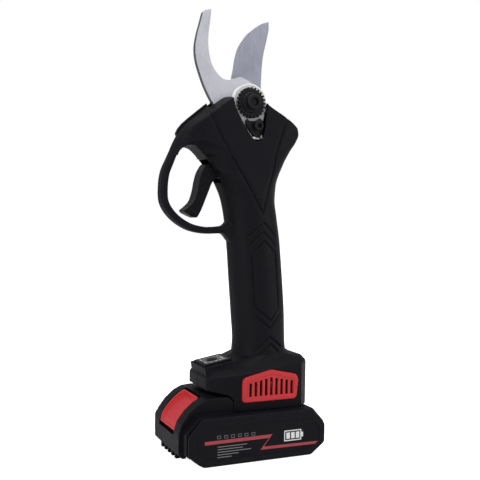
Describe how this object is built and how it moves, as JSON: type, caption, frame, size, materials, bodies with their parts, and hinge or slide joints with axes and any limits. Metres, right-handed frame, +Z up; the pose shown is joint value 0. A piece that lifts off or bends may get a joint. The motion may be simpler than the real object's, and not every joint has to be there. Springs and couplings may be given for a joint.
{
  "type": "cordless battery pruner",
  "caption": "Cordless pruning shear with a hooked counter blade, geared moving blade, trigger in a closed guard, and a slide-on battery that forms its foot.",
  "frame": {"origin": "centre of the battery's flat underside, which the tool stands on", "axes": "+Z up through the handle to the blades; -X to the trigger and guard; -Y to the side with the adjusting nut"},
  "size_m": [0.1108, 0.072, 0.3013],
  "materials": {
    "black_plastic": "fine moulded grain, near-black with a blue cast",
    "dark_plastic": "smooth satin black",
    "red_plastic": "satin red",
    "gloss_panel": "polished black",
    "blade_steel": "satin ground, light grey",
    "tool_steel": "brushed lengthwise, bluish grey",
    "black_oxide": "black oxide, oiled",
    "cast_aluminium": "white painted casting",
    "bright_steel": "bright plated",
    "gear_steel": "machined",
    "copper": "enamelled copper windings",
    "circuit_board": "green solder mask",
    "cell_wrap": "shrink wrap over a metal can",
    "brass": "plain brass"
  },
  "bodies": {
    "housing": {"left_shell": "black_plastic", "right_shell": "black_plastic", "trigger_guard": "black_plastic", "display_bezel": "dark_plastic", "terminal_block": "dark_plastic", "left_vent_grille": "red_plastic", "right_vent_grille": "red_plastic", "display_window": "gloss_panel", "supply_capacitor": "gloss_panel", "hook_blade": "blade_steel", "adjusting_nut": "black_oxide", "nut_lock": "black_oxide", "lock_screw": "black_oxide", "motor_can": "black_oxide", "head_plate": "cast_aluminium", "gear_case": "cast_aluminium", "shell_screw_1": "bright_steel", "shell_screw_2": "bright_steel", "shell_screw_3": "bright_steel", "shell_screw_4": "bright_steel", "trigger_pin": "bright_steel", "hook_dowel": "bright_steel", "pivot_bolt": "bright_steel", "output_bearing": "bright_steel", "trigger_spring": "bright_steel", "gearbox_housing": "gear_steel", "ring_gear": "gear_steel", "motor_stator": "copper", "display_board": "circuit_board", "control_board": "circuit_board", "trigger_sensor_board": "circuit_board", "terminal_blade_1": "brass", "terminal_blade_2": "brass"},
    "blade": {"moving_blade": "tool_steel", "pivot_bushing": "brass", "bevel_sector": "gear_steel", "sector_screw_1": "bright_steel", "sector_screw_2": "bright_steel"},
    "output_shaft": {"bevel_pinion": "gear_steel", "planet_carrier": "gear_steel"},
    "rotor": {"motor_rotor": "gear_steel"},
    "planet_1": {"planet_gear_1": "gear_steel"},
    "planet_2": {"planet_gear_2": "gear_steel"},
    "planet_3": {"planet_gear_3": "gear_steel"},
    "trigger_arm": {"trigger": "dark_plastic", "trigger_magnet": "bright_steel"},
    "power_key": {"power_button": "dark_plastic"},
    "battery": {"battery_case": "black_plastic", "battery_base": "black_plastic", "left_cheek": "black_plastic", "right_cheek": "black_plastic", "cell_1": "cell_wrap", "cell_2": "cell_wrap", "cell_3": "cell_wrap", "cell_4": "cell_wrap", "cell_5": "cell_wrap", "battery_board": "circuit_board", "release_spring": "bright_steel"},
    "release": {"release_button": "red_plastic", "release_latch": "bright_steel"}
  },
  "joints": [
    {"name": "blade_pivot", "type": "hinge", "parent": "housing", "child": "blade", "pos_m": [0.0005, 0, 0.2395], "axis": [0, -1, 0], "range_deg": [0, 52]},
    {"name": "output_spin", "type": "hinge", "parent": "housing", "child": "output_shaft", "pos_m": [0.00312, 0, 0.20961], "axis": [-0.0872, 0, 0.9962], "range_deg": [-260, 0]},
    {"name": "rotor_spin", "type": "hinge", "parent": "housing", "child": "rotor", "pos_m": [0.008, 0, 0.15383], "axis": [-0.0872, 0, 0.9962], "range_deg": [-1300, 0]},
    {"name": "planet_1_spin", "type": "hinge", "parent": "output_shaft", "child": "planet_1", "pos_m": [0.01019, 0, 0.19297], "axis": [-0.0872, 0, 0.9962], "range_deg": [0, 693.34]},
    {"name": "planet_2_spin", "type": "hinge", "parent": "output_shaft", "child": "planet_2", "pos_m": [0.00182, 0.00485, 0.19224], "axis": [-0.0872, 0, 0.9962], "range_deg": [0, 693.34]},
    {"name": "planet_3_spin", "type": "hinge", "parent": "output_shaft", "child": "planet_3", "pos_m": [0.00182, -0.00485, 0.19224], "axis": [-0.0872, 0, 0.9962], "range_deg": [0, 693.34]},
    {"name": "trigger_pull", "type": "hinge", "parent": "housing", "child": "trigger_arm", "pos_m": [-0.0175, 0, 0.1965], "axis": [0, -1, 0], "range_deg": [0, 14], "stiffness_Nm_per_rad": 0.5, "springref_deg": -3.44, "deforming": ["trigger_spring"]},
    {"name": "power_press", "type": "slide", "parent": "housing", "child": "power_key", "axis": [0.1736, 0, -0.9848], "range_m": [0, 0.0007], "stiffness_N_per_m": 600, "springref_m": -0.0004},
    {"name": "battery_slide", "type": "slide", "parent": "housing", "child": "battery", "axis": [-1, 0, 0], "range_m": [0, 0.06]},
    {"name": "release_press", "type": "slide", "parent": "battery", "child": "release", "axis": [0.7507, 0, -0.6606], "range_m": [0, 0.0025], "stiffness_N_per_m": 800, "springref_m": -0.001, "deforming": ["release_spring"]}
  ],
  "couplings": [
    {"joint": "output_spin", "follows": "blade_pivot", "ratio": -5},
    {"joint": "rotor_spin", "follows": "blade_pivot", "ratio": -25},
    {"joint": "planet_1_spin", "follows": "blade_pivot", "ratio": 13.333},
    {"joint": "planet_2_spin", "follows": "blade_pivot", "ratio": 13.333},
    {"joint": "planet_3_spin", "follows": "blade_pivot", "ratio": 13.333}
  ]
}
